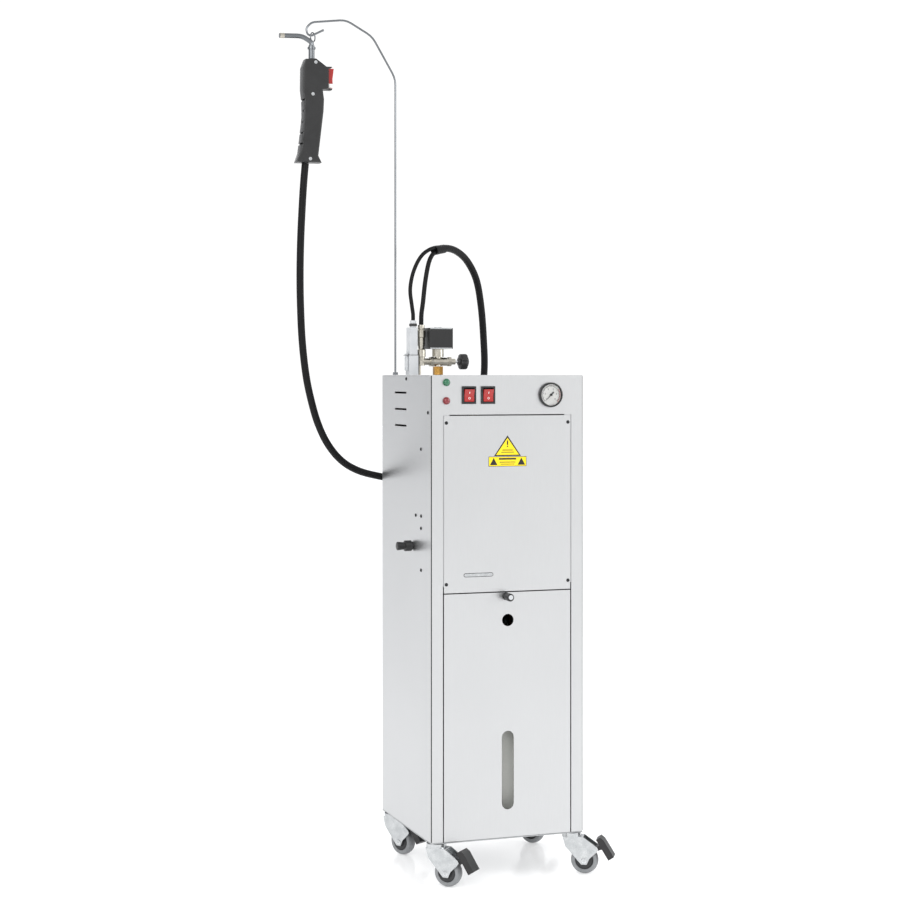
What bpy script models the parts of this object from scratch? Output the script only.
"""Commercial steam cleaner: an upright cabinet on casters, with a hose, a spray gun and a hanger rod.

Metres, +Z up. The front faces -Y. Sizes and places are measured from the middle of the cabinet's
footprint on the floor, and the Origin empty carries them to where the whole object is centred.
"""

import math

import bmesh
import bpy
from mathutils import Matrix, Vector

# Where the cabinet's middle stands, so that the object's own box is centred on the origin
CABINET_X = 0.0761
CABINET_Y = 0.0188

# Clearances and sheet metal
GAP = 0.0003  # between pieces that touch
PLAY = 0.0005  # around a pin, stem or tube that moves in its hole
OVERLAP = 0.0005  # how far joined shapes run into each other
SHEET = 0.0015
BASE_SHEET = 0.002
DOOR_GAP = 0.002  # around the door and the front panel

# Cabinet
CABINET_WIDTH = 0.290
CABINET_DEPTH = 0.290
CABINET_BOTTOM = 0.075
CABINET_HEIGHT = 0.830
POST_WIDTH = 0.022
FASCIA_HEIGHT = 0.0705
SEAM_HEIGHT = 0.442  # middle of the seam between door and front panel, above the cabinet's bottom
RETURN_DEPTH = 0.018
DOOR_RETURN = 0.010
RAIL_HEIGHT = 0.024
SILL_HEIGHT = 0.028
LIP = 0.013
SHELF_HEIGHT = 0.444  # the shelf's underside, above the cabinet's bottom

# Knob, door hole and sight slot, from the middle of the door
KNOB_X = -0.004
KNOB_BELOW_SEAM = 0.008
KNOB_RADIUS = 0.007
KNOB_LENGTH = 0.026
KNOB_SHAFT_RADIUS = 0.003
CAM_REACH = 0.010
DOOR_HOLE_RADIUS = 0.011
DOOR_HOLE_BELOW_SEAM = 0.0507
SLOT_WIDTH = 0.023
SLOT_HEIGHT = 0.141
SLOT_ABOVE_BOTTOM = 0.052

# Controls on the fascia, from the cabinet's middle and below its top
CONTROL_DROP = 0.0357
LAMP_X = -0.1167
LAMP_DROPS = (0.0131, 0.0457)
LAMP_RADIUS = 0.0068
LAMP_BODY_RADIUS = 0.0055
SWITCH_XS = (-0.0742, -0.0380)
SWITCH_WIDTH = 0.0264
SWITCH_HEIGHT = 0.0316
SWITCH_BEZEL = 0.0028
SWITCH_BODY_DEPTH = 0.018
ROCKER_WIDTH = 0.0184
ROCKER_HALF_HEIGHT = 0.0112
ROCKER_TILT = math.radians(9)
GAUGE_X = 0.0822
GAUGE_RADIUS = 0.0225
GAUGE_BODY_RADIUS = 0.0195
GAUGE_BEZEL = 0.006
GAUGE_BODY_DEPTH = 0.030
NEEDLE_REST = math.radians(225)
NEEDLE_LENGTH = 0.0145
NEEDLE_TAIL = 0.007

# Boiler and what is in the cabinet
BOILER_X, BOILER_Y = -0.030, 0.020
BOILER_RADIUS = 0.085
BOILER_WALL = 0.0025
BOILER_TOP = 0.790
BOILER_BOTTOM = 0.560
BOILER_SKIRT_RADIUS = 0.072
BOILER_PORT_RADIUS = 0.020
BOILER_SHOULDER = 0.025
BOSS_HEIGHT = 0.010
SAFETY_VALVE_X, SAFETY_VALVE_Y = 0.005, 0.050
CONTROL_BOX_LOW = (0.066, -0.090)
CONTROL_BOX_HIGH = (0.138, 0.050)
CONTROL_BOX_HEIGHT = 0.180
TANK_LOW = (-0.120, -0.120)
TANK_HIGH = (0.045, 0.085)
TANK_HEIGHT = 0.322
TANK_WALL = 0.003
NECK_RADIUS = 0.025
NECK_HEIGHT = 0.020
TUBE_RADIUS = 0.004
PUMP_X, PUMP_Y = 0.095, 0.062
PUMP_HEIGHT = 0.122
FEED_Y = 0.092
SUCTION_Y = 0.034
GLAND_X, GLAND_Z = 0.090, 0.130
GLAND_RADIUS = 0.008

# Steam fittings on the top
FITTING_Y = 0.030
NIPPLE_X = -0.0725
NIPPLE_RADIUS = 0.006
NIPPLE_HEX_RADIUS = 0.0098
NIPPLE_HEX_HEIGHT = 0.0157
VALVE_RISE = 0.025  # the valve's axis, above the cabinet's top
VALVE_RADIUS = 0.008
VALVE_LEFT, VALVE_RIGHT = -0.088, -0.047
SEAT_RADIUS = 0.011
COIL_LEFT, COIL_RIGHT = -0.0955, -0.0495
COIL_DEPTH = 0.039
COIL_RISE = 0.0485
COIL_HEIGHT = 0.039
PLUNGER_RADIUS = 0.004
PLUNGER_LENGTH = 0.024
STEM_RADIUS = 0.0025
STEM_BORE_DEPTH = 0.020
PACKING_LENGTH = 0.008
WHEEL_X = -0.033
WHEEL_LENGTH = 0.020
HANDWHEEL_RADIUS = 0.015
COUPLING_X = -0.1053
COUPLING_HEIGHT = 0.093
CONNECTOR_LEFT, CONNECTOR_RIGHT = -0.132, -0.1145
CONNECTOR_DEPTH = 0.022
CONNECTOR_BASE_HEIGHT = 0.037
CONNECTOR_HOOD_HEIGHT = 0.088
CABLE_GLAND_X = -0.1212
CABLE_GLAND_RADIUS = 0.006
CABLE_GLAND_HEIGHT = 0.013
LEVER_THICKNESS = 0.0035
LEVER_HALF_WIDTH = 0.006
LEVER_LENGTH = 0.032

# Drain fitting on the left side
DRAIN_Y, DRAIN_Z = -0.040, 0.595
DRAIN_RADIUS = 0.004
DRAIN_LENGTH = 0.030

# Hanger rod, in its own plane across the cabinet
ROD_Y = 0.115
ROD_RADIUS = 0.002
ROD_FOOT_DEPTH = 0.020
HOOK_BALL_RADIUS = 0.0024
ROD_ROUTE = (
    (-0.1285, 1.4667),
    (-0.1744, 1.5439),
    (-0.2262, 1.5723),
    (-0.2931, 1.5640),
    (-0.3035, 1.5520),
    (-0.3005, 1.5408),
    (-0.2935, 1.5385),
    (-0.2708, 1.5501),
)

# Spray gun, in a plane beside the hook
GUN_Y = 0.107
GUN_HALF_THICKNESS = 0.014
GUN_EDGE = 0.004
SPRAY_TUBE_RADIUS = 0.0045
SLEEVE_X = -0.295
SLEEVE_RADIUS = 0.0057
SLEEVE_BOTTOM, SLEEVE_TOP = 1.4943, 1.5190
EYE_X, EYE_Z = -0.2905, 1.5362
EYE_RADIUS = 0.0085
EYE_WIRE_RADIUS = 0.0012
EYE_TURN = math.radians(45)
EYE_BAND_Z = 1.512
EYE_BAND_HEIGHT = 0.004
EYE_BAND_WALL = 0.0016
SWITCH_PIVOT = (-0.2640, 1.4430)
GUN_SWITCH_HALF_WIDTH = 0.006
SPRAY_ROUTE = ((-0.3566, 1.5343), (-0.3130, 1.5358), (-0.2952, 1.5250), (-0.2950, 1.5195))
GUN_OUTLINE = (
    (-0.3150, 1.4360),
    (-0.3145, 1.4760),
    (-0.3085, 1.4925),
    (-0.2890, 1.4940),
    (-0.2690, 1.4800),
    (-0.2540, 1.4790),
    (-0.2555, 1.4395),
    (-0.2760, 1.4360),
    (-0.2735, 1.4180),
    (-0.2745, 1.3960),
    (-0.2800, 1.3500),
    (-0.2845, 1.3130),
    (-0.2780, 1.3000),
    (-0.3265, 1.2995),
    (-0.3200, 1.3180),
    (-0.3165, 1.3450),
    (-0.3120, 1.3850),
    (-0.3125, 1.4150),
)
HANDLE_GROOVES = 5
GROOVE_TOP, GROOVE_PITCH = 1.4180, 0.0205
GROOVE_DEPTH, GROOVE_HEIGHT = 0.0022, 0.0035

# Casters, in their own frame: x from the kingpin towards the wheel, z from the floor
KINGPIN_X = 0.130
KINGPIN_YS = (-0.130, 0.120)
CASTER_TRAIL = 0.024
CASTER_RADIUS = 0.025
CASTER_HALF_WIDTH = 0.009
CASTER_HUB_HALF_WIDTH = 0.0107
CHEEK_INSIDE = 0.0115
CHEEK_THICKNESS = 0.002
AXLE_RADIUS = 0.003
KINGPIN_RADIUS = 0.004
KINGPIN_NUT_HEIGHT = 0.005
RACE_RADIUS = 0.018
RACE_HEIGHT = 0.008
PEDAL_PIVOT = (0.046, 0.046)
PEDAL_PIN_RADIUS = 0.002
PEDAL_HALF_WIDTH = 0.013
CASTER_HEADINGS = {
    "front_left": (-KINGPIN_X, KINGPIN_YS[0], -45),
    "front_right": (KINGPIN_X, KINGPIN_YS[0], -30),
    "rear_left": (-KINGPIN_X, KINGPIN_YS[1], -60),
    "rear_right": (KINGPIN_X, KINGPIN_YS[1], -50),
}

# Cords, as (x, y, z) points that a smooth curve runs through
HOSE_RADIUS = 0.0068
STEAM_RADIUS = 0.00425
CABLE_RADIUS = 0.00365
HOSE_ROUTE = (
    (-0.3070, 0.1070, 1.2990),
    (-0.3098, 0.1076, 1.2650),
    (-0.3122, 0.1085, 1.2250),
    (-0.3150, 0.1098, 1.1600),
    (-0.3160, 0.1110, 1.0950),
    (-0.3147, 0.1128, 1.0350),
    (-0.3110, 0.1148, 0.9700),
    (-0.3035, 0.1180, 0.9100),
    (-0.2930, 0.1230, 0.8640),
    (-0.2765, 0.1310, 0.8150),
    (-0.2540, 0.1400, 0.7740),
    (-0.2240, 0.1490, 0.7420),
    (-0.1870, 0.1580, 0.7220),
    (-0.1383, 0.1650, 0.7096),
    (-0.0920, 0.1670, 0.7010),
    (-0.0420, 0.1670, 0.7010),
    (0.0060, 0.1670, 0.7200),
    (0.0420, 0.1670, 0.7680),
    (0.0620, 0.1665, 0.8380),
    (0.0696, 0.1650, 0.9148),
    (0.0674, 0.1630, 0.9753),
    (0.0600, 0.1570, 1.0380),
    (0.0460, 0.1450, 1.0890),
    (0.0210, 0.1260, 1.1230),
    (-0.0080, 0.1020, 1.1400),
    (-0.0376, 0.0785, 1.1450),
    (-0.0676, 0.0550, 1.1393),
)
STEAM_ROUTE = (
    (-0.0674, 0.0552, 1.1350),
    (-0.0765, 0.0478, 1.1312),
    (-0.0865, 0.0415, 1.1150),
    (-0.0951, 0.0360, 1.0806),
    (-0.1013, 0.0315, 1.0400),
    (-0.1048, 0.0300, 1.0180),
    (-0.1053, 0.0300, 0.9984),
)
CABLE_ROUTE = (
    (-0.0688, 0.0540, 1.1434),
    (-0.0810, 0.0450, 1.1410),
    (-0.0970, 0.0430, 1.1310),
    (-0.1095, 0.0415, 1.1140),
    (-0.1200, 0.0380, 1.0900),
    (-0.1255, 0.0340, 1.0630),
    (-0.1238, 0.0305, 1.0370),
    (-0.1212, 0.0300, 1.0180),
    (-0.1212, 0.0300, 1.0064),
)

# Worked out from the sizes above
HALF_WIDTH = CABINET_WIDTH / 2
HALF_DEPTH = CABINET_DEPTH / 2
TOP = CABINET_BOTTOM + CABINET_HEIGHT
FLOOR_TOP = CABINET_BOTTOM + BASE_SHEET
FRONT = -HALF_DEPTH
SEAM_Z = CABINET_BOTTOM + SEAM_HEIGHT
OPENING_HALF = HALF_WIDTH - POST_WIDTH
PANEL_HALF = OPENING_HALF - DOOR_GAP
FASCIA_Z = TOP - FASCIA_HEIGHT
SHELF_Z = CABINET_BOTTOM + SHELF_HEIGHT
CONTROL_Z = TOP - CONTROL_DROP
VALVE_Z = TOP + VALVE_RISE
COIL_Z = TOP + COIL_RISE
RAIL_Y = FRONT + DOOR_RETURN + SHEET
DOOR_BOTTOM = FLOOR_TOP + PLAY
NUT_CLEAR_Z = FLOOR_TOP + GAP + KINGPIN_NUT_HEIGHT + 2 * PLAY
DOOR_TOP = SEAM_Z - DOOR_GAP / 2
PANEL_BOTTOM = SEAM_Z + DOOR_GAP / 2
PANEL_TOP = FASCIA_Z - DOOR_GAP
TANK_X = (TANK_LOW[0] + TANK_HIGH[0]) / 2
TANK_Y = (TANK_LOW[1] + TANK_HIGH[1]) / 2
TANK_TOP = FLOOR_TOP + GAP + TANK_HEIGHT

# Colour, roughness and metallic value of each finish
FINISHES = {
    "cabinet_steel": ((0.62, 0.63, 0.64), 0.35, 0.9),
    "inner_steel": ((0.50, 0.51, 0.52), 0.45, 0.9),
    "zinc": ((0.60, 0.61, 0.60), 0.35, 1.0),
    "chrome": ((0.75, 0.75, 0.75), 0.12, 1.0),
    "brass": ((0.63, 0.46, 0.20), 0.30, 1.0),
    "copper": ((0.62, 0.33, 0.20), 0.35, 1.0),
    "black_plastic": ((0.02, 0.02, 0.02), 0.45, 0.0),
    "grey_plastic": ((0.22, 0.23, 0.24), 0.50, 0.0),
    "white_plastic": ((0.72, 0.72, 0.70), 0.45, 0.0),
    "red_plastic": ((0.60, 0.02, 0.02), 0.30, 0.0),
    "green_lens": ((0.02, 0.40, 0.10), 0.20, 0.0),
    "red_lens": ((0.60, 0.03, 0.03), 0.20, 0.0),
    "hose_rubber": ((0.03, 0.03, 0.03), 0.60, 0.0),
    "grey_tyre": ((0.45, 0.45, 0.44), 0.60, 0.0),
}

AXES = {
    "+X": Matrix.Rotation(math.radians(90), 4, "Y"),
    "-X": Matrix.Rotation(math.radians(-90), 4, "Y"),
    "+Y": Matrix.Rotation(math.radians(-90), 4, "X"),
    "-Y": Matrix.Rotation(math.radians(90), 4, "X"),
    "+Z": Matrix.Identity(4),
    "-Z": Matrix.Rotation(math.radians(180), 4, "X"),
}

for leftover in list(bpy.data.objects):
    bpy.data.objects.remove(leftover)
PARTS = bpy.data.collections.new("Steam cleaner")
CUTTERS = bpy.data.collections.new("Cutters")
CUTTERS.hide_render = True
for collection in (PARTS, CUTTERS):
    bpy.context.scene.collection.children.link(collection)


def finish(name):
    """The material of this finish, made on its first use."""
    found = bpy.data.materials.get(name)
    if found:
        return found
    color, roughness, metallic = FINISHES[name]
    made = bpy.data.materials.new(name)
    made.use_nodes = True
    shader = made.node_tree.nodes["Principled BSDF"]
    shader.inputs["Base Color"].default_value = (*color, 1)
    shader.inputs["Roughness"].default_value = roughness
    shader.inputs["Metallic"].default_value = metallic
    return made


def empty(name, location, parent=None, turn=0.0):
    """An empty that carries pieces: its place, and its turn about Z in radians."""
    made = bpy.data.objects.new(name, None)
    made.location = location
    made.rotation_euler.z = turn
    made.parent = parent
    PARTS.objects.link(made)
    return made


ORIGIN = empty("Origin", (CABINET_X, CABINET_Y, 0))


def placed(name, mesh, parent=ORIGIN):
    """A new object that holds this mesh, in the parent's frame."""
    made = bpy.data.objects.new(name, mesh)
    made.parent = parent
    PARTS.objects.link(made)
    return made


def box(low, high, name="box", parent=ORIGIN):
    """A box between two corners."""
    low, high = Vector(low), Vector(high)
    shape = bmesh.new()
    bmesh.ops.create_cube(shape, size=1)
    bmesh.ops.scale(shape, vec=high - low, verts=shape.verts)
    bmesh.ops.translate(shape, vec=(low + high) / 2, verts=shape.verts)
    mesh = bpy.data.meshes.new(name)
    shape.to_mesh(mesh)
    shape.free()
    return placed(name, mesh, parent)


def cylinder(start, axis, radius, length, sides=16, parent=ORIGIN):
    """A cylinder that starts at a point and runs along an axis."""
    shape = bmesh.new()
    bmesh.ops.create_cone(
        shape, cap_ends=True, segments=sides, radius1=radius, radius2=radius, depth=length
    )
    bmesh.ops.translate(shape, vec=(0, 0, length / 2), verts=shape.verts)
    mesh = bpy.data.meshes.new("cylinder")
    shape.to_mesh(mesh)
    shape.free()
    mesh.shade_smooth()
    mesh.set_sharp_from_angle(angle=math.radians(35))
    made = placed("cylinder", mesh, parent)
    made.matrix_basis = Matrix.Translation(start) @ AXES[axis]
    return made


def turned(profile, start, axis, name="turned", sides=16, ring=False, parent=ORIGIN):
    """A turned shape: (radius, height) points run down its outer side, and a ring's profile closes."""
    shape = bmesh.new()
    points = [shape.verts.new((radius, 0, height)) for radius, height in profile]
    for first, second in zip(points, points[1:]):
        shape.edges.new((first, second))
    if ring:
        shape.edges.new((points[-1], points[0]))
    mesh = bpy.data.meshes.new(name)
    shape.to_mesh(mesh)
    shape.free()
    made = placed(name, mesh, parent)
    made.matrix_basis = Matrix.Translation(start) @ AXES[axis]
    screw = made.modifiers.new("Turn", "SCREW")
    screw.steps = screw.render_steps = sides
    screw.use_merge_vertices = True
    screw.merge_threshold = 0.00001
    return made


def as_mesh(curve):
    """The mesh of a curve object, with its caps welded, in place of the curve."""
    bpy.context.view_layer.update()
    graph = bpy.context.evaluated_depsgraph_get()
    mesh = bpy.data.meshes.new_from_object(curve.evaluated_get(graph))
    shape = bmesh.new()
    shape.from_mesh(mesh)
    bmesh.ops.remove_doubles(shape, verts=shape.verts, dist=0.00001)
    bmesh.ops.recalc_face_normals(shape, faces=shape.faces)
    shape.to_mesh(mesh)
    shape.free()
    made = placed(curve.name + "_solid", mesh, curve.parent)
    made.matrix_basis = curve.matrix_basis.copy()
    name = curve.name
    bpy.data.objects.remove(curve)
    made.name = name
    return made


def slab(outline, low, high, name="slab", plane="XZ", parent=ORIGIN):
    """A flat outline in the XZ or YZ plane, as thick as from low to high across that plane."""
    data = bpy.data.curves.new(name, "CURVE")
    data.dimensions = "2D"
    data.fill_mode = "BOTH"
    data.extrude = (high - low) / 2
    spline = data.splines.new("POLY")
    spline.points.add(len(outline) - 1)
    for point, place in zip(spline.points, outline):
        point.co = (*place, 0, 1)
    spline.use_cyclic_u = True
    made = placed(name, data, parent)
    middle = (low + high) / 2
    if plane == "XZ":
        made.matrix_basis = Matrix.Translation((0, middle, 0)) @ AXES["-Y"]
    else:
        upright = Matrix(((0, 0, 1, middle), (1, 0, 0, 0), (0, 1, 0, 0), (0, 0, 0, 1)))
        made.matrix_basis = upright
    return as_mesh(made)


def tube(points, radius, name="tube", rounding=2, parent=ORIGIN):
    """A wire or pipe through these points, as a curve with filled caps."""
    data = bpy.data.curves.new(name, "CURVE")
    data.dimensions = "3D"
    data.bevel_depth = radius
    data.bevel_resolution = rounding
    data.use_fill_caps = True
    spline = data.splines.new("POLY")
    spline.points.add(len(points) - 1)
    for point, place in zip(spline.points, points):
        point.co = (*place, 1)
    return placed(name, data, parent)


def ring(centre, radius, wire, name="ring", turn=0.0, parent=ORIGIN):
    """A wire ring that stands upright, turned about Z from the XZ plane."""
    bpy.ops.mesh.primitive_torus_add(
        major_radius=radius, minor_radius=wire, major_segments=20, minor_segments=6
    )
    made = bpy.context.object
    for user in list(made.users_collection):
        user.objects.unlink(made)
    PARTS.objects.link(made)
    made.name = name
    made.parent = parent
    made.matrix_basis = Matrix.Translation(centre) @ Matrix.Rotation(turn, 4, "Z") @ AXES["-Y"]
    return made


def smooth_route(route, spacing):
    """Points at about this spacing along a smooth curve (Catmull-Rom) through a route's points."""
    places = [Vector(place) for place in route]
    places = [2 * places[0] - places[1], *places, 2 * places[-1] - places[-2]]
    points = []
    for before, start, end, after in zip(places, places[1:], places[2:], places[3:]):
        steps = max(1, round((end - start).length / spacing))
        for step in range(steps):
            t = step / steps
            points.append(
                0.5
                * (
                    2 * start
                    + (end - before) * t
                    + (2 * before - 5 * start + 4 * end - after) * t**2
                    + (3 * start - before - 3 * end + after) * t**3
                )
            )
    return [*points, places[-2]]


def rounded_route(route, radius, steps=3):
    """A polyline's points, with each inner corner replaced by an arc-like bend of this reach."""
    places = [Vector(place) for place in route]
    points = [places[0]]
    for before, corner, after in zip(places, places[1:], places[2:]):
        reach = min(radius, (before - corner).length * 0.45, (after - corner).length * 0.45)
        start = corner + (before - corner).normalized() * reach
        end = corner + (after - corner).normalized() * reach
        for step in range(steps + 1):
            t = step / steps
            points.append((1 - t) ** 2 * start + 2 * t * (1 - t) * corner + t**2 * end)
    return [*points, places[-1]]


def boolean(target, shapes, operation):
    """Adds a Boolean for each shape, and puts the shape with the cutters."""
    for shape in shapes:
        modifier = target.modifiers.new(operation.title(), "BOOLEAN")
        modifier.operation = operation
        modifier.object = shape
        PARTS.objects.unlink(shape)
        CUTTERS.objects.link(shape)
        shape.hide_render = True
        shape.display_type = "WIRE"


def fuse(target, *shapes):
    """Joins the shapes to the target."""
    boolean(target, shapes, "UNION")


def cut(target, *shapes):
    """Cuts the shapes out of the target."""
    boolean(target, shapes, "DIFFERENCE")


def node(name, made, surface, origin=None):
    """Names a finished piece, gives it its finish and, where it moves, its origin on its joint's axis."""
    made.name = name
    made.data.name = name
    made.data.materials.clear()
    made.data.materials.append(finish(surface))
    if origin is not None:
        shift = made.matrix_basis.inverted() @ Vector(origin)
        made.data.transform(Matrix.Translation(-shift))
        made.matrix_basis = made.matrix_basis @ Matrix.Translation(shift)
    return made


def cabinet():
    """The sheet-metal pieces that don't move."""
    inside_x = HALF_WIDTH - SHEET
    inside_y = HALF_DEPTH - SHEET
    wall_bottom = FLOOR_TOP + GAP
    wall_top = TOP - SHEET - GAP

    tray = box((-HALF_WIDTH, -HALF_DEPTH, CABINET_BOTTOM), (HALF_WIDTH, HALF_DEPTH, FLOOR_TOP))
    lip_x = inside_x - GAP
    for side in (-1, 1):
        edges = sorted((side * lip_x, side * (lip_x - SHEET)))
        lip_low = (edges[0], -inside_y + RETURN_DEPTH + 2 * SHEET, FLOOR_TOP - OVERLAP)
        fuse(tray, box(lip_low, (edges[1], inside_y - SHEET, FLOOR_TOP + LIP)))
    hole_radius = KINGPIN_RADIUS + PLAY
    for x, y, _ in CASTER_HEADINGS.values():
        start = (x, y, CABINET_BOTTOM - SHEET)
        cut(tray, cylinder(start, "+Z", hole_radius, BASE_SHEET + 2 * SHEET))
    node("base_tray", tray, "inner_steel")

    wall_low, wall_high = -inside_y + GAP, inside_y - GAP
    left = box((-HALF_WIDTH, wall_low, wall_bottom), (-inside_x, wall_high, wall_top))
    for drop in (0.0325, 0.0629, 0.0931):
        slot_low = (-HALF_WIDTH - SHEET, -0.0036, TOP - drop - 0.00175)
        cut(left, box(slot_low, (-inside_x + SHEET, 0.0660, TOP - drop + 0.00175)))
    drain_hole = DRAIN_RADIUS + PLAY
    cut(left, cylinder((-HALF_WIDTH - SHEET, DRAIN_Y, DRAIN_Z), "+X", drain_hole, 3 * SHEET))
    node("left_side_panel", left, "cabinet_steel")
    right = box((inside_x, wall_low, wall_bottom), (HALF_WIDTH, wall_high, wall_top))
    node("right_side_panel", right, "cabinet_steel")

    back = box((-HALF_WIDTH, inside_y, wall_bottom), (HALF_WIDTH, HALF_DEPTH, wall_top))
    hole = cylinder((GLAND_X, inside_y - SHEET, GLAND_Z), "+Y", GLAND_RADIUS + GAP, 3 * SHEET)
    cut(back, hole)
    node("back_panel", back, "cabinet_steel")

    top = box((-HALF_WIDTH, -inside_y + GAP, TOP - SHEET), (HALF_WIDTH, HALF_DEPTH, TOP))
    for side in (-1, 1):
        edges = sorted((side * lip_x, side * (lip_x - SHEET)))
        lip_low = (edges[0], -inside_y + RETURN_DEPTH + 2 * SHEET, TOP - LIP)
        fuse(top, box(lip_low, (edges[1], inside_y - SHEET, TOP - SHEET + OVERLAP)))
    for x, y, radius in (
        (NIPPLE_X, FITTING_Y, NIPPLE_RADIUS + PLAY),
        (ROD_ROUTE[0][0], ROD_Y, ROD_RADIUS + PLAY),
    ):
        cut(top, cylinder((x, y, TOP - 2 * SHEET), "+Z", radius, 3 * SHEET))
    node("top_panel", top, "cabinet_steel")

    shelf_low = (-inside_x + PLAY, FRONT + SHEET + RETURN_DEPTH + SHEET, SHELF_Z)
    shelf = box(shelf_low, (inside_x - PLAY, inside_y - PLAY, SHELF_Z + SHEET))
    cut(shelf, cylinder((PUMP_X, FEED_Y, SHELF_Z - SHEET), "+Z", TUBE_RADIUS + PLAY, 3 * SHEET))
    node("boiler_shelf", shelf, "inner_steel")


def front_frame():
    """The front's sheet: posts and fascia around the opening, with its returns and rails."""
    back = FRONT + SHEET
    inner = OPENING_HALF + OVERLAP / 2
    frame = box((-HALF_WIDTH, FRONT, FLOOR_TOP + GAP), (HALF_WIDTH, back, TOP), "frame")
    opening = box(
        (-OPENING_HALF, FRONT - SHEET, CABINET_BOTTOM), (OPENING_HALF, back + SHEET, FASCIA_Z)
    )
    cut(frame, opening)
    for side in (-1, 1):
        edges = sorted((side * inner, side * (inner + SHEET)))
        low = (edges[0], back - OVERLAP, NUT_CLEAR_Z)
        fuse(frame, box(low, (edges[1], back + RETURN_DEPTH, FASCIA_Z + 2 * SHEET)))
        edges = sorted((side * (inner + OVERLAP), side * (OPENING_HALF - LIP)))
        low = (edges[0], back + GAP, PANEL_BOTTOM + RAIL_HEIGHT / 2)
        fuse(frame, box(low, (edges[1], back + GAP + SHEET, FASCIA_Z + OVERLAP)))
    low = (-inner - OVERLAP, back - OVERLAP, FASCIA_Z + OVERLAP / 2)
    high = (inner + OVERLAP, back + RETURN_DEPTH - OVERLAP, FASCIA_Z + OVERLAP / 2 + SHEET)
    fuse(frame, box(low, high))
    for bottom, height in (
        (PANEL_BOTTOM + SHEET + DOOR_GAP, RAIL_HEIGHT),
        (NUT_CLEAR_Z + GAP, SILL_HEIGHT),
    ):
        low = (-inner - OVERLAP, RAIL_Y, bottom)
        fuse(frame, box(low, (inner + OVERLAP, RAIL_Y + SHEET, bottom + height)))
    for drop in LAMP_DROPS:
        start = (LAMP_X, FRONT - SHEET, TOP - drop)
        cut(frame, cylinder(start, "+Y", LAMP_BODY_RADIUS + GAP, 3 * SHEET))
    for x in SWITCH_XS:
        half_width = SWITCH_WIDTH / 2 - 2 * SHEET + GAP
        half_height = SWITCH_HEIGHT / 2 - SHEET + GAP
        low = (x - half_width, FRONT - SHEET, CONTROL_Z - half_height)
        cut(frame, box(low, (x + half_width, back + SHEET, CONTROL_Z + half_height)))
    start = (GAUGE_X, FRONT - SHEET, CONTROL_Z)
    cut(frame, cylinder(start, "+Y", GAUGE_BODY_RADIUS + GAP, 3 * SHEET, sides=32))
    node("front_frame", frame, "cabinet_steel")


def front_panel():
    """The fixed panel above the door, with a return along its top and bottom."""
    back = FRONT + SHEET
    panel = box((-PANEL_HALF, FRONT, PANEL_BOTTOM), (PANEL_HALF, back, PANEL_TOP), "panel")
    half = OPENING_HALF - LIP - DOOR_GAP
    for edge in (PANEL_BOTTOM + GAP, PANEL_TOP - SHEET - GAP):
        fuse(panel, box((-half, back - OVERLAP, edge), (half, back + DOOR_RETURN / 2, edge + SHEET)))
    node("upper_front_panel", panel, "cabinet_steel")


def door():
    """The lower door: a pan of sheet that folds down about its bottom edge, and its knob."""
    back = FRONT + SHEET
    pan = box((-PANEL_HALF, FRONT, DOOR_BOTTOM), (PANEL_HALF, back, DOOR_TOP), "door")
    rear = FRONT + DOOR_RETURN
    edge = PANEL_HALF - OVERLAP / 2
    for side in (-1, 1):
        edges = sorted((side * edge, side * (edge - SHEET)))
        low = (edges[0], back - OVERLAP, DOOR_BOTTOM + OVERLAP)
        fuse(pan, box(low, (edges[1], rear, DOOR_TOP - OVERLAP)))
    for bottom in (DOOR_BOTTOM + GAP, DOOR_TOP - GAP - SHEET):
        low = (-edge + OVERLAP, back - OVERLAP, bottom)
        fuse(pan, box(low, (edge - OVERLAP, rear - OVERLAP, bottom + SHEET)))
    hole_z = SEAM_Z - DOOR_HOLE_BELOW_SEAM
    cut(pan, cylinder((0, FRONT - SHEET, hole_z), "+Y", DOOR_HOLE_RADIUS, 4 * SHEET, sides=24))
    slot_radius = SLOT_WIDTH / 2
    slot_z = CABINET_BOTTOM + SLOT_ABOVE_BOTTOM
    ends = ((180, slot_z + slot_radius), (0, slot_z + SLOT_HEIGHT - slot_radius))
    outline = [
        (
            slot_radius * math.cos(math.radians(start + step * 30)),
            middle + slot_radius * math.sin(math.radians(start + step * 30)),
        )
        for start, middle in ends
        for step in range(7)
    ]
    cut(pan, slab(outline, FRONT - SHEET, back + SHEET, "slot"))
    knob_z = SEAM_Z - KNOB_BELOW_SEAM
    start = (KNOB_X, FRONT - SHEET, knob_z)
    cut(pan, cylinder(start, "+Y", KNOB_SHAFT_RADIUS + PLAY, RETURN_DEPTH + SHEET))
    node("lower_door", pan, "cabinet_steel", (0, FRONT + SHEET / 3, DOOR_BOTTOM + SHEET))

    profile = (
        (0, KNOB_LENGTH),
        (KNOB_RADIUS * 0.7, KNOB_LENGTH),
        (KNOB_RADIUS, KNOB_LENGTH - 0.002),
        (KNOB_RADIUS, KNOB_LENGTH * 0.45),
        (KNOB_RADIUS * 0.7, KNOB_LENGTH * 0.35),
        (KNOB_RADIUS, KNOB_LENGTH * 0.12),
        (KNOB_RADIUS, GAP),
        (KNOB_SHAFT_RADIUS, GAP),
        (KNOB_SHAFT_RADIUS, -DOOR_RETURN - 3 * SHEET),
        (0, -DOOR_RETURN - 3 * SHEET),
    )
    knob = turned(profile, (KNOB_X, FRONT, knob_z), "-Y", "knob")
    cam_front = FRONT + DOOR_RETURN + SHEET
    low = (KNOB_X - 0.005, cam_front, knob_z - 0.005)
    high = (KNOB_X + 0.005, cam_front + 2 * SHEET, knob_z + CAM_REACH - DOOR_GAP)
    fuse(knob, box(low, high))
    node("door_knob", knob, "chrome")


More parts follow.
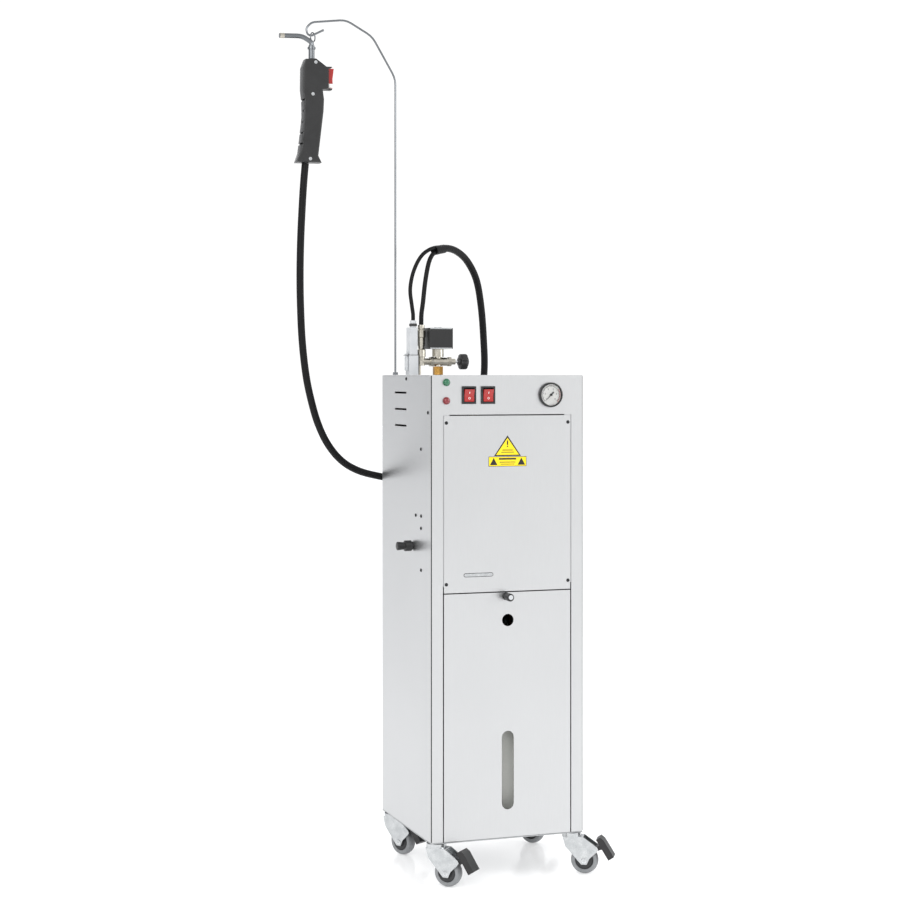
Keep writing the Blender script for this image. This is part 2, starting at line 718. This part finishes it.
def controls():
    """Lamps, rocker switches and the pressure gauge."""
    lens = (
        (0, 0.0065),
        (LAMP_RADIUS * 0.5, 0.0058),
        (LAMP_RADIUS * 0.78, 0.0035),
        (LAMP_RADIUS * 0.8, 0.0022),
        (LAMP_RADIUS, 0.0016),
        (LAMP_RADIUS, GAP),
        (LAMP_BODY_RADIUS, GAP),
        (LAMP_BODY_RADIUS, -0.016),
        (0, -0.016),
    )
    for name, drop in zip(("green", "red"), LAMP_DROPS):
        lamp = turned(lens, (LAMP_X, FRONT, TOP - drop), "-Y")
        node(f"{name}_lamp", lamp, f"{name}_lens")

    for name, x in zip(("boiler", "pump"), SWITCH_XS):
        half_width = SWITCH_WIDTH / 2
        half_height = SWITCH_HEIGHT / 2
        low = (x - half_width, FRONT - SWITCH_BEZEL, CONTROL_Z - half_height)
        case = box(low, (x + half_width, FRONT - GAP, CONTROL_Z + half_height), "case")
        body_half = half_width - 2 * SHEET
        body_high = half_height - SHEET
        low = (x - body_half, FRONT - SHEET, CONTROL_Z - body_high)
        high = (x + body_half, FRONT + SWITCH_BODY_DEPTH, CONTROL_Z + body_high)
        fuse(case, box(low, high))
        pocket_half = ROCKER_WIDTH / 2 + PLAY
        pocket_high = ROCKER_HALF_HEIGHT + 2 * PLAY
        low = (x - pocket_half, FRONT - 2 * SWITCH_BEZEL, CONTROL_Z - pocket_high)
        high = (x + pocket_half, FRONT + SWITCH_BODY_DEPTH - 2 * SHEET, CONTROL_Z + pocket_high)
        cut(case, box(low, high))
        node(f"{name}_switch_case", case, "black_plastic")

        pivot = FRONT - PLAY
        reach = ROCKER_HALF_HEIGHT
        outline = (
            (-0.0045, -reach),
            (-0.0025, 0),
            (-0.0045, reach),
            (0.0030, reach * 0.85),
            (0.0075, reach * 0.35),
            (0.0075, -reach * 0.35),
            (0.0030, -reach * 0.85),
        )
        half = ROCKER_WIDTH / 2
        rocker = slab(outline, -half, half, "rocker", "YZ")
        upright = Matrix.Translation((x, pivot, CONTROL_Z)) @ Matrix.Rotation(ROCKER_TILT, 4, "X")
        rocker.matrix_basis = upright @ rocker.matrix_basis
        node(f"{name}_switch_rocker", rocker, "red_plastic")

    rim = GAUGE_RADIUS
    bore = GAUGE_BODY_RADIUS
    profile = (
        (0, GAUGE_BEZEL - 0.0045),
        (bore, GAUGE_BEZEL - 0.0045),
        (bore, GAUGE_BEZEL),
        (rim - 0.001, GAUGE_BEZEL),
        (rim, GAUGE_BEZEL - 0.001),
        (rim, GAP),
        (bore, GAP),
        (bore, -GAUGE_BODY_DEPTH),
        (0, -GAUGE_BODY_DEPTH),
    )
    gauge = turned(profile, (GAUGE_X, FRONT, CONTROL_Z), "-Y", sides=24)
    node("gauge_case", gauge, "black_plastic")

    along = Vector((math.cos(NEEDLE_REST), math.sin(NEEDLE_REST)))
    across = Vector((-along.y, along.x))
    corners = (
        (-NEEDLE_TAIL, -0.0016),
        (0, -0.0010),
        (NEEDLE_LENGTH, -0.0002),
        (NEEDLE_LENGTH, 0.0002),
        (0, 0.0010),
        (-NEEDLE_TAIL, 0.0016),
    )
    middle = Vector((GAUGE_X, CONTROL_Z))
    outline = [tuple(middle + along * length + across * width) for length, width in corners]
    face = FRONT - GAUGE_BEZEL + 0.0045
    needle = slab(outline, face - 0.0026, face - 0.0018, "needle")
    hub = cylinder((GAUGE_X, face - GAP, CONTROL_Z), "-Y", 0.0022, 0.0028, sides=16)
    fuse(needle, hub)
    node("gauge_needle", needle, "black_plastic", (GAUGE_X, face, CONTROL_Z))


def steam_fittings():
    """The steam outlet on the top: nipple, hand valve, solenoid valve and the hose's coupling."""
    boss_top = BOILER_TOP + BOSS_HEIGHT
    seat = TOP + GAP
    hex_height = NIPPLE_HEX_HEIGHT
    nipple = cylinder((NIPPLE_X, FITTING_Y, seat), "+Z", NIPPLE_HEX_RADIUS, hex_height, sides=6)
    shank_length = seat - boss_top - GAP + SHEET
    start = (NIPPLE_X, FITTING_Y, boss_top + GAP)
    fuse(nipple, cylinder(start, "+Z", NIPPLE_RADIUS, shank_length))
    node("steam_outlet_nipple", nipple, "brass")

    length = VALVE_RIGHT - VALVE_LEFT
    valve = cylinder((VALVE_LEFT, FITTING_Y, VALVE_Z), "+X", VALVE_RADIUS, length, sides=24)
    bottom = seat + hex_height + GAP
    spigot = cylinder((NIPPLE_X, FITTING_Y, bottom), "+Z", NIPPLE_RADIUS, VALVE_Z - bottom)
    seat_top = COIL_Z - GAP
    stub = cylinder((NIPPLE_X, FITTING_Y, VALVE_Z), "+Z", NIPPLE_RADIUS, seat_top - VALVE_Z - 0.002)
    collar_bottom = VALVE_Z + VALVE_RADIUS + 0.001
    start = (NIPPLE_X, FITTING_Y, collar_bottom)
    collar = cylinder(start, "+Z", SEAT_RADIUS, seat_top - collar_bottom, sides=24)
    neck_start = (VALVE_RIGHT - OVERLAP, FITTING_Y, VALVE_Z)
    neck = cylinder(neck_start, "+X", VALVE_RADIUS * 0.7, PACKING_LENGTH + OVERLAP)
    fuse(valve, spigot, stub, collar, neck)
    neck_end = VALVE_RIGHT + PACKING_LENGTH
    bore_start = (neck_end - STEM_BORE_DEPTH, FITTING_Y, VALVE_Z)
    bore = cylinder(bore_start, "+X", STEM_RADIUS + GAP, STEM_BORE_DEPTH + SHEET, sides=16)
    plunger_bottom = seat_top - 0.005
    pocket_start = (NIPPLE_X, FITTING_Y, plunger_bottom - PLAY)
    pocket = cylinder(pocket_start, "+Z", PLUNGER_RADIUS + GAP, 0.01, sides=16)
    cut(valve, bore, pocket)
    node("regulator_body", valve, "brass")

    stem_left = bore_start[0] + PLAY
    stem_start = (stem_left, FITTING_Y, VALVE_Z)
    stem_length = WHEEL_X + WHEEL_LENGTH * 0.6 - stem_left
    stem = cylinder(stem_start, "+X", STEM_RADIUS, stem_length, sides=16)
    node("regulator_stem", stem, "zinc")

    bore_radius = STEM_RADIUS + GAP
    rim = HANDWHEEL_RADIUS
    profile = (
        (bore_radius, WHEEL_LENGTH),
        (rim * 0.45, WHEEL_LENGTH),
        (rim * 0.60, WHEEL_LENGTH * 0.86),
        (rim * 0.95, WHEEL_LENGTH * 0.80),
        (rim, WHEEL_LENGTH * 0.70),
        (rim, WHEEL_LENGTH * 0.30),
        (rim * 0.95, WHEEL_LENGTH * 0.22),
        (rim * 0.50, WHEEL_LENGTH * 0.14),
        (rim * 0.45, 0),
        (bore_radius, 0),
    )
    handwheel = turned(profile, (WHEEL_X, FITTING_Y, VALVE_Z), "+X", ring=True)
    node("regulator_handwheel", handwheel, "black_plastic")

    low = (COIL_LEFT, FITTING_Y - COIL_DEPTH / 2, COIL_Z)
    coil = box(low, (COIL_RIGHT, FITTING_Y + COIL_DEPTH / 2, COIL_Z + COIL_HEIGHT), "coil")
    plunger_top = plunger_bottom + PLUNGER_LENGTH
    bore_length = plunger_top + 0.0045 - COIL_Z + SHEET
    bore_start = (NIPPLE_X, FITTING_Y, COIL_Z - SHEET)
    cut(coil, cylinder(bore_start, "+Z", PLUNGER_RADIUS + GAP, bore_length, sides=16))
    node("solenoid_coil", coil, "black_plastic")
    start = (NIPPLE_X, FITTING_Y, plunger_bottom)
    plunger = cylinder(start, "+Z", PLUNGER_RADIUS, PLUNGER_LENGTH, sides=16)
    node("solenoid_plunger", plunger, "chrome")

    height = COUPLING_HEIGHT
    profile = (
        (0, height),
        (0.0063, height),
        (0.0063, height - 0.0085),
        (0.0084, height - 0.0100),
        (0.0084, height - 0.0230),
        (0.0070, height - 0.0240),
        (0.0070, 0.0560),
        (0.0056, 0.0525),
        (0.0056, 0.0490),
        (0.0084, 0.0470),
        (0.0084, 0.0340),
        (0.0066, 0.0330),
        (0.0066, 0.0175),
        (0, 0.0175),
    )
    coupling = turned(profile, (COUPLING_X, FITTING_Y, TOP), "+Z")
    reach = VALVE_LEFT - GAP - COUPLING_X
    elbow = cylinder((COUPLING_X, FITTING_Y, VALVE_Z), "+X", VALVE_RADIUS * 0.8, reach)
    leg_x = COUPLING_X - 0.003
    leg = cylinder((leg_x, FITTING_Y, TOP + GAP), "+Z", 0.0025, VALVE_RISE - GAP, sides=12)
    fuse(coupling, elbow, leg)
    node("hose_coupling", coupling, "chrome")


def control_plug():
    """The plug of the gun's control cable, and the lever that holds it down."""
    half = CONNECTOR_DEPTH / 2
    base_top = TOP + CONNECTOR_BASE_HEIGHT
    low = (CONNECTOR_LEFT, FITTING_Y - half, TOP + GAP)
    plug = box(low, (CONNECTOR_RIGHT, FITTING_Y + half, base_top), "plug")
    inset = 0.001
    low = (CONNECTOR_LEFT + inset, FITTING_Y - half + inset, base_top - OVERLAP)
    hood_top = TOP + CONNECTOR_HOOD_HEIGHT
    fuse(plug, box(low, (CONNECTOR_RIGHT - inset, FITTING_Y + half - inset, hood_top)))
    start = (CABLE_GLAND_X, FITTING_Y, hood_top - OVERLAP)
    gland = cylinder(start, "+Z", CABLE_GLAND_RADIUS, CABLE_GLAND_HEIGHT + OVERLAP, sides=16)
    pivot_z = TOP + 0.013
    start = (CONNECTOR_LEFT - LEVER_THICKNESS - 2 * PLAY, FITTING_Y, pivot_z)
    pin_length = LEVER_THICKNESS + 2 * PLAY + OVERLAP
    fuse(plug, gland, cylinder(start, "+X", 0.0015, pin_length, sides=12))
    node("control_connector", plug, "grey_plastic")

    right = CONNECTOR_LEFT - PLAY
    left = right - LEVER_THICKNESS
    half = LEVER_HALF_WIDTH
    low = (left, FITTING_Y - half, pivot_z - 0.005)
    lever = box(low, (right, FITTING_Y + half, pivot_z - 0.005 + LEVER_LENGTH), "lever")
    start = (left - SHEET, FITTING_Y, pivot_z)
    hole = cylinder(start, "+X", 0.0015 + GAP, LEVER_THICKNESS + 2 * SHEET, sides=12)
    start = (left - SHEET, FITTING_Y, pivot_z + 0.019)
    window = cylinder(start, "+X", 0.0025, LEVER_THICKNESS + 2 * SHEET, sides=12)
    cut(lever, hole, window)
    node("connector_lever", lever, "grey_plastic", ((left + right) / 2, FITTING_Y, pivot_z))


def drain():
    """The fitting on the left side, with its shank through the panel to the boiler."""
    gap_at_side = HALF_WIDTH + GAP
    offset = abs(DRAIN_Y - BOILER_Y) - DRAIN_RADIUS
    shell_x = BOILER_X - math.sqrt(BOILER_RADIUS**2 - offset**2)
    inner_end = -(shell_x - 2 * PLAY) - gap_at_side
    length = DRAIN_LENGTH
    profile = (
        (0, length),
        (0.0060, length),
        (0.0078, length - 0.0010),
        (0.0068, length - 0.0120),
        (0.0068, length - 0.0140),
        (0.0098, length - 0.0150),
        (0.0098, 0.0030),
        (0.0072, 0.0025),
        (0.0072, 0),
        (DRAIN_RADIUS, 0),
        (DRAIN_RADIUS, inner_end),
        (0, inner_end),
    )
    fitting = turned(profile, (-gap_at_side, DRAIN_Y, DRAIN_Z), "-X")
    node("drain_fitting", fitting, "black_plastic")


def boiler_parts():
    """The boiler on the shelf, its element and safety valve, and the control box beside it."""
    wall = BOILER_WALL
    radius = BOILER_RADIUS
    skirt = BOILER_SKIRT_RADIUS
    foot = SHELF_Z + SHEET + GAP
    shoulder = BOILER_SHOULDER
    profile = (
        (0, BOILER_TOP),
        (radius - shoulder, BOILER_TOP),
        (radius - shoulder * 0.3, BOILER_TOP - shoulder * 0.3),
        (radius, BOILER_TOP - shoulder),
        (radius, BOILER_BOTTOM + 0.015),
        (skirt, BOILER_BOTTOM + 0.001),
        (skirt, foot),
        (skirt - wall, foot),
        (skirt - wall, BOILER_BOTTOM),
        (BOILER_PORT_RADIUS, BOILER_BOTTOM),
        (BOILER_PORT_RADIUS, BOILER_BOTTOM + wall),
        (skirt - wall, BOILER_BOTTOM + wall),
        (radius - wall, BOILER_BOTTOM + 0.016),
        (radius - wall, BOILER_TOP - shoulder - wall / 2),
        (radius - shoulder * 0.35 - wall, BOILER_TOP - shoulder * 0.35 - wall),
        (radius - shoulder - wall / 2, BOILER_TOP - wall),
        (0, BOILER_TOP - wall),
    )
    boiler = turned(profile, (BOILER_X, BOILER_Y, 0), "+Z", "boiler", sides=24)
    boss_bottom = BOILER_TOP - wall / 2
    boss_height = BOSS_HEIGHT + wall / 2
    for x, y in ((NIPPLE_X, FITTING_Y), (SAFETY_VALVE_X, SAFETY_VALVE_Y)):
        fuse(boiler, cylinder((x, y, boss_bottom), "+Z", 0.009, boss_height, sides=12))
    node("boiler_tank", boiler, "zinc")

    flange_top = BOILER_BOTTOM - GAP
    start = (BOILER_X, BOILER_Y, flange_top - 0.008)
    element = cylinder(start, "+Z", 0.027, 0.008, sides=24)
    half = 0.010
    route = (
        (BOILER_X - half, BOILER_Y, flange_top - 0.002),
        (BOILER_X - half, BOILER_Y, flange_top + 0.140),
        (BOILER_X + half, BOILER_Y, flange_top + 0.140),
        (BOILER_X + half, BOILER_Y, flange_top - 0.002),
    )
    fuse(element, as_mesh(tube(rounded_route(route, 0.009), 0.004)))
    node("heating_element", element, "copper")

    profile = (
        (0, 0.042),
        (0.003, 0.042),
        (0.003, 0.036),
        (0.008, 0.034),
        (0.008, 0.014),
        (0.005, 0.012),
        (0.005, 0),
        (0, 0),
    )
    start = (SAFETY_VALVE_X, SAFETY_VALVE_Y, BOILER_TOP + BOSS_HEIGHT + GAP)
    node("safety_valve", turned(profile, start, "+Z", sides=16), "brass")

    low = (*CONTROL_BOX_LOW, SHELF_Z + SHEET + GAP)
    high = (*CONTROL_BOX_HIGH, low[2] + CONTROL_BOX_HEIGHT)
    node("control_box", box(low, high), "grey_plastic")


def water_parts():
    """The water tank with its cap, the pump, and the pipes between them and the boiler."""
    bottom = FLOOR_TOP + GAP
    wall = TANK_WALL
    tank = box((*TANK_LOW, bottom), (*TANK_HIGH, TANK_TOP), "tank")
    start = (TANK_X, TANK_Y, TANK_TOP - OVERLAP)
    fuse(tank, cylinder(start, "+Z", NECK_RADIUS, NECK_HEIGHT + OVERLAP, sides=24))
    low = (TANK_LOW[0] + wall, TANK_LOW[1] + wall, bottom + wall)
    cut(tank, box(low, (TANK_HIGH[0] - wall, TANK_HIGH[1] - wall, TANK_TOP - wall)))
    start = (TANK_X, TANK_Y, TANK_TOP - 2 * wall)
    bore = cylinder(start, "+Z", NECK_RADIUS - wall, NECK_HEIGHT + 3 * wall, sides=24)
    cut(tank, bore)
    node("water_tank", tank, "white_plastic")

    neck_top = TANK_TOP + NECK_HEIGHT
    hole = TUBE_RADIUS + PLAY
    profile = (
        (hole, GAP + wall),
        (NECK_RADIUS + wall, GAP + wall),
        (NECK_RADIUS + wall, -NECK_HEIGHT * 0.7),
        (NECK_RADIUS + GAP, -NECK_HEIGHT * 0.7),
        (NECK_RADIUS + GAP, GAP),
        (hole, GAP),
    )
    cap = turned(profile, (TANK_X, TANK_Y, neck_top), "+Z", sides=24, ring=True)
    node("tank_cap", cap, "black_plastic")

    pump_top = bottom + PUMP_HEIGHT
    low = (PUMP_X - 0.035, PUMP_Y - 0.045, bottom)
    pump = box(low, (PUMP_X + 0.035, PUMP_Y + 0.045, bottom + 0.012), "pump")
    start = (PUMP_X, PUMP_Y - 0.040, bottom + 0.042)
    body = cylinder(start, "+Y", 0.034, 0.080, sides=24)
    low = (PUMP_X - 0.020, PUMP_Y - 0.041, bottom + 0.060)
    head = box(low, (PUMP_X + 0.020, PUMP_Y + 0.041, pump_top - 0.012))
    ports = [
        cylinder((PUMP_X, y, pump_top - 0.020), "+Z", 0.006, 0.020, sides=16)
        for y in (FEED_Y, SUCTION_Y)
    ]
    fuse(pump, body, head, *ports)
    node("feed_pump", pump, "grey_plastic")

    outlet = pump_top + GAP
    away = (Vector((PUMP_X, FEED_Y)) - Vector((BOILER_X, BOILER_Y))).normalized()
    port = Vector((BOILER_X, BOILER_Y)) + away * (BOILER_RADIUS + PLAY)
    feed_z = SHELF_Z + 0.220
    route = ((PUMP_X, FEED_Y, outlet), (PUMP_X, FEED_Y, feed_z), (port.x, port.y, feed_z))
    pipe = tube(rounded_route(route, 0.020), TUBE_RADIUS)
    node("feed_pipe", pipe, "copper")

    lift = neck_top + 0.045
    route = (
        (TANK_X, TANK_Y, bottom + 2 * wall),
        (TANK_X, TANK_Y, lift),
        (PUMP_X, SUCTION_Y, lift),
        (PUMP_X, SUCTION_Y, outlet),
    )
    hose = tube(rounded_route(route, 0.030, steps=4), TUBE_RADIUS)
    node("suction_tube", hose, "white_plastic")

    gland_out = 0.010
    profile = (
        (0, gland_out + 0.002),
        (0.0060, gland_out + 0.002),
        (0.0095, gland_out),
        (0.0110, 0.003),
        (0.0110, GAP),
        (GLAND_RADIUS, GAP),
        (GLAND_RADIUS, -SHEET - GAP),
        (0.0110, -SHEET - GAP),
        (0.0110, -SHEET - 0.006),
        (0, -SHEET - 0.006),
    )
    gland = turned(profile, (GLAND_X, HALF_DEPTH, GLAND_Z), "+Y")
    node("mains_gland", gland, "black_plastic")


def hanger():
    """The bent rod that stands on the top and carries the gun on its hook."""
    foot_z = TOP - ROD_FOOT_DEPTH
    foot = (ROD_ROUTE[0][0], ROD_Y, foot_z)
    route = [foot, *((x, ROD_Y, z) for x, z in ROD_ROUTE)]
    rod = as_mesh(tube(rounded_route(route, 0.012, steps=3), ROD_RADIUS, "rod"))
    end = ROD_ROUTE[-1]
    ball_mesh = bpy.data.meshes.new("ball")
    shape = bmesh.new()
    bmesh.ops.create_uvsphere(shape, u_segments=8, v_segments=6, radius=HOOK_BALL_RADIUS)
    shape.to_mesh(ball_mesh)
    shape.free()
    ball = placed("ball", ball_mesh)
    ball.location = (end[0], ROD_Y, end[1])
    nut = cylinder((foot[0], ROD_Y, TOP + GAP), "+Z", 0.005, 0.005, sides=6)
    lower = cylinder((foot[0], ROD_Y, TOP - SHEET - GAP - 0.005), "+Z", 0.005, 0.005, sides=6)
    fuse(rod, ball, nut, lower)
    node("hanger_rod", rod, "zinc")


def gun_shell(side, carrier):
    """One half of the gun's casing: side is -1 for the near half and 1 for the far half."""
    inner = side * GAP / 2
    outer = side * GUN_HALF_THICKNESS
    shell = slab(GUN_OUTLINE, min(inner, outer), max(inner, outer), "shell", parent=carrier)
    shape = bmesh.new()
    shape.from_mesh(shell.data)
    bmesh.ops.dissolve_limit(
        shape, angle_limit=0.01, verts=shape.verts, edges=shape.edges
    )
    face = max(shape.faces, key=lambda one: -side * one.calc_center_median().z)
    bmesh.ops.bevel(
        shape,
        geom=list(face.edges),
        offset=GUN_EDGE,
        segments=2,
        profile=0.6,
        affect="EDGES",
    )
    shape.to_mesh(shell.data)
    shape.free()
    pocket_half = GUN_SWITCH_HALF_WIDTH + PLAY
    pivot_x, pivot_z = SWITCH_PIVOT
    low = (pivot_x - 0.0085, -pocket_half, pivot_z - 0.003)
    high = (pivot_x + 0.02, pocket_half, pivot_z + 0.0350)
    cut(shell, box(low, high, parent=carrier))
    for groove in range(HANDLE_GROOVES):
        top = GROOVE_TOP - groove * GROOVE_PITCH
        wide = GUN_HALF_THICKNESS + 0.01
        near = -0.3105 - groove * 0.0010
        low = (near - 0.02, min(side * 0.001, side * wide), top - GROOVE_HEIGHT)
        high = (near + GROOVE_DEPTH - 0.002, max(side * 0.001, side * wide), top)
        cut(shell, box(low, high, parent=carrier))
    return shell


def gun():
    """The spray gun that hangs on the hook: casing halves, switch, spray tube, sleeve and eye."""
    carrier = empty("Gun", (0, GUN_Y, 0), ORIGIN)
    for name, side in (("gun_near_shell", -1), ("gun_far_shell", 1)):
        node(name, gun_shell(side, carrier), "black_plastic")

    pivot_x, pivot_z = SWITCH_PIVOT
    outline = (
        (pivot_x - 0.0025, pivot_z - 0.0022),
        (pivot_x - 0.0025, pivot_z + 0.0340),
        (pivot_x + 0.0105, pivot_z + 0.0340),
        (pivot_x + 0.0080, pivot_z + 0.0140),
        (pivot_x + 0.0090, pivot_z - 0.0022),
    )
    half = GUN_SWITCH_HALF_WIDTH
    switch = slab(outline, -half, half, "switch", parent=carrier)
    node("gun_switch", switch, "red_plastic", (pivot_x, 0, pivot_z))

    route = [(x, 0, z) for x, z in SPRAY_ROUTE]
    spray = tube(rounded_route(route, 0.010, steps=4), SPRAY_TUBE_RADIUS, parent=carrier, rounding=3)
    node("spray_tube", spray, "chrome")

    length = SLEEVE_TOP - SLEEVE_BOTTOM
    start = (SLEEVE_X, 0, SLEEVE_BOTTOM)
    sleeve = cylinder(start, "+Z", SLEEVE_RADIUS, length, sides=24, parent=carrier)
    node("spray_sleeve", sleeve, "chrome")

    inner = SLEEVE_RADIUS + GAP
    outer = inner + EYE_BAND_WALL
    profile = ((inner, EYE_BAND_HEIGHT), (outer, EYE_BAND_HEIGHT), (outer, 0), (inner, 0))
    start = (SLEEVE_X, 0, EYE_BAND_Z)
    band = turned(profile, start, "+Z", ring=True, parent=carrier)
    hook_y = ROD_Y - GUN_Y
    eye = ring((EYE_X, hook_y, EYE_Z), EYE_RADIUS, EYE_WIRE_RADIUS, turn=EYE_TURN, parent=carrier)
    away = Vector((EYE_X - SLEEVE_X, hook_y)).normalized() * (outer - EYE_BAND_WALL / 3)
    foot = (SLEEVE_X + away.x, away.y, EYE_BAND_Z + EYE_BAND_HEIGHT / 2)
    head = (EYE_X, hook_y, EYE_Z - EYE_RADIUS)
    stub = as_mesh(tube((foot, head), EYE_WIRE_RADIUS * 0.95, parent=carrier))
    fuse(eye, stub, band)
    node("hanging_eye", eye, "zinc")


def cords():
    """The hose from the gun to the sleeve over the top, and its steam and cable branches."""
    hose = smooth_route(HOSE_ROUTE, HOSE_RADIUS * 4.2)
    node("gun_hose", tube(hose, HOSE_RADIUS, rounding=2), "hose_rubber")
    steam = smooth_route(STEAM_ROUTE, STEAM_RADIUS * 4)
    node("steam_branch", tube(steam, STEAM_RADIUS, rounding=2), "hose_rubber")
    cable = smooth_route(CABLE_ROUTE, CABLE_RADIUS * 4)
    node("cable_branch", tube(cable, CABLE_RADIUS, rounding=2), "hose_rubber")


def caster(name, x, y, heading):
    """One swivelling caster: its fork, its wheel and its brake pedal."""
    carrier = empty(f"{name}_caster", (x, y, 0), ORIGIN, math.radians(heading))
    outer = CHEEK_INSIDE + CHEEK_THICKNESS
    race_top = CABINET_BOTTOM - GAP
    race_bottom = race_top - RACE_HEIGHT
    wheel_x, wheel_z = CASTER_TRAIL, CASTER_RADIUS
    pivot_x, pivot_z = PEDAL_PIVOT
    fork = cylinder((0, 0, race_bottom), "+Z", RACE_RADIUS, RACE_HEIGHT, 20, carrier)
    crown_top = race_bottom + 2 * OVERLAP
    low = (-0.0145, OVERLAP - outer, crown_top - 0.004)
    crown = box(low, (0.0225, outer - OVERLAP, crown_top), parent=carrier)
    outline = (
        (-0.015, crown_top - OVERLAP),
        (0.023, crown_top - OVERLAP),
        (pivot_x + 0.002, pivot_z + 0.004),
        (pivot_x + 0.004, pivot_z),
        (pivot_x + 0.001, pivot_z - 0.005),
        (wheel_x + 0.010, wheel_z + 0.004),
        (wheel_x + 0.005, wheel_z - 0.007),
        (wheel_x - 0.005, wheel_z - 0.007),
        (-0.010, 0.050),
    )
    cheeks = [
        slab(outline, min(near, far), max(near, far), "cheek", parent=carrier)
        for near, far in ((-outer, -CHEEK_INSIDE), (CHEEK_INSIDE, outer))
    ]
    span = 2 * outer + 0.003
    axle_start = (wheel_x, -span / 2, wheel_z)
    axle = cylinder(axle_start, "+Y", AXLE_RADIUS, span, 12, carrier)
    pin_start = (pivot_x, -outer + OVERLAP, pivot_z)
    pin_length = 2 * (outer - OVERLAP)
    pin = cylinder(pin_start, "+Y", PEDAL_PIN_RADIUS, pin_length, 8, carrier)
    stem_start = (0, 0, race_top - OVERLAP)
    stem_length = FLOOR_TOP + GAP - stem_start[2] + 0.006
    stem = cylinder(stem_start, "+Z", KINGPIN_RADIUS, stem_length, 12, carrier)
    nut = cylinder((0, 0, FLOOR_TOP + GAP), "+Z", 0.0075, KINGPIN_NUT_HEIGHT, 6, carrier)
    fuse(fork, crown, *cheeks, axle, pin, stem, nut)
    for modifier in fork.modifiers:
        modifier.solver = "MANIFOLD"  # the turned frame's rounding leaves slits with EXACT
    node(f"{name}_fork", fork, "zinc")

    bore = AXLE_RADIUS + PLAY
    profile = (
        (bore, CASTER_HUB_HALF_WIDTH),
        (bore + 0.0025, CASTER_HUB_HALF_WIDTH),
        (bore + 0.0045, CASTER_HALF_WIDTH),
        (CASTER_RADIUS * 0.92, CASTER_HALF_WIDTH),
        (CASTER_RADIUS, CASTER_HALF_WIDTH * 0.60),
    )
    lower = [(radius, -height) for radius, height in reversed(profile)]
    start = (wheel_x, 0, wheel_z)
    wheel = turned((*profile, *lower), start, "+Y", sides=28, ring=True, parent=carrier)
    node(f"{name}_wheel", wheel, "grey_tyre")

    hub_half = CHEEK_INSIDE - 2 * PLAY
    hub_start = (pivot_x, -hub_half, pivot_z)
    pedal = cylinder(hub_start, "+Y", 0.004, 2 * hub_half, 12, carrier)
    arm_outline = (
        (pivot_x - 0.001, pivot_z + 0.003),
        (pivot_x + 0.010, pivot_z + 0.009),
        (pivot_x + 0.014, pivot_z + 0.001),
        (pivot_x + 0.002, pivot_z - 0.003),
    )
    arm = slab(arm_outline, -hub_half, hub_half, "arm", parent=carrier)
    plate_outline = (
        (pivot_x - 0.0002, pivot_z + 0.0175),
        (pivot_x + 0.0070, pivot_z + 0.0222),
        (pivot_x + 0.0140, pivot_z + 0.0170),
        (pivot_x + 0.0325, pivot_z - 0.0125),
        (pivot_x + 0.0225, pivot_z - 0.0190),
    )
    plate = slab(plate_outline, -PEDAL_HALF_WIDTH, PEDAL_HALF_WIDTH, "plate", parent=carrier)
    fuse(pedal, arm, plate)
    hole_radius = PEDAL_PIN_RADIUS + GAP
    hole_start = (pivot_x, -outer, pivot_z)
    cut(pedal, cylinder(hole_start, "+Y", hole_radius, 2 * outer, 8, carrier))
    node(f"{name}_pedal", pedal, "black_plastic")


cabinet()
front_frame()
front_panel()
door()
controls()
steam_fittings()
control_plug()
drain()
boiler_parts()
water_parts()
hanger()
gun()
cords()
for caster_name, place in CASTER_HEADINGS.items():
    caster(caster_name, *place)
